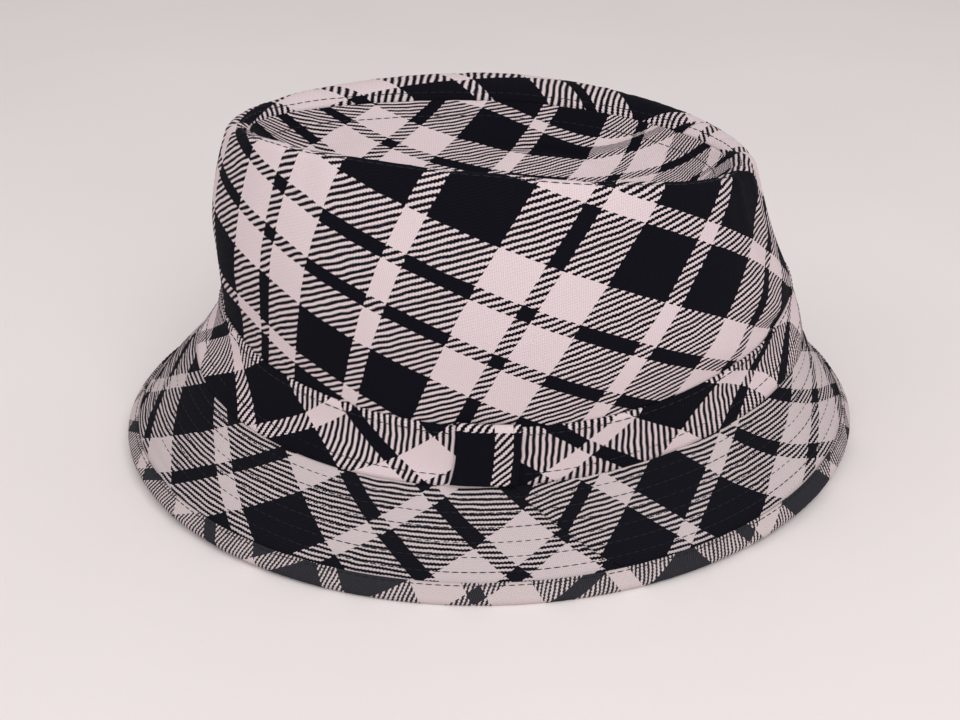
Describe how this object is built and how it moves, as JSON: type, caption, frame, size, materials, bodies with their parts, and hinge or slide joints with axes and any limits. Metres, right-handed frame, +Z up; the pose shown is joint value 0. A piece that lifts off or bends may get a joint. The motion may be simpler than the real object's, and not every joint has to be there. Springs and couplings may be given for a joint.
{
  "type": "bucket hat",
  "caption": "Soft plaid bucket hat with a dented round crown, a self-cloth band with a loop, and a stitched, sloping brim with a bound edge.",
  "frame": {"origin": "middle of the brim's outline, on the surface that the hat lies on", "axes": "+Z up through the crown, -X towards the hat's front, -Y towards the wearer's left side, where the band's loop is"},
  "size_m": [0.2567, 0.2128, 0.1216],
  "materials": {
    "plaid_cloth": "matte brushed twill, black and off-white plaid",
    "stiffening": "matte non-woven",
    "lining": "satin lining",
    "sweatband": "matte grosgrain",
    "thread": "satin spun thread"
  },
  "bodies": {
    "root": {"crown_side": "plaid_cloth", "crown_tip": "plaid_cloth", "hat_band": "plaid_cloth", "band_loop": "plaid_cloth", "brim_top_front": "plaid_cloth", "brim_top_back": "plaid_cloth", "brim_under_front": "plaid_cloth", "brim_under_back": "plaid_cloth", "brim_binding": "plaid_cloth", "crown_side_stiffening": "stiffening", "crown_tip_stiffening": "stiffening", "brim_stiffening": "stiffening", "crown_side_lining": "lining", "crown_tip_lining": "lining", "sweatband": "sweatband", "brim_stitching": "thread", "binding_stitching": "thread", "band_stitching": "thread", "rim_stitching": "thread"}
  },
  "joints": []
}
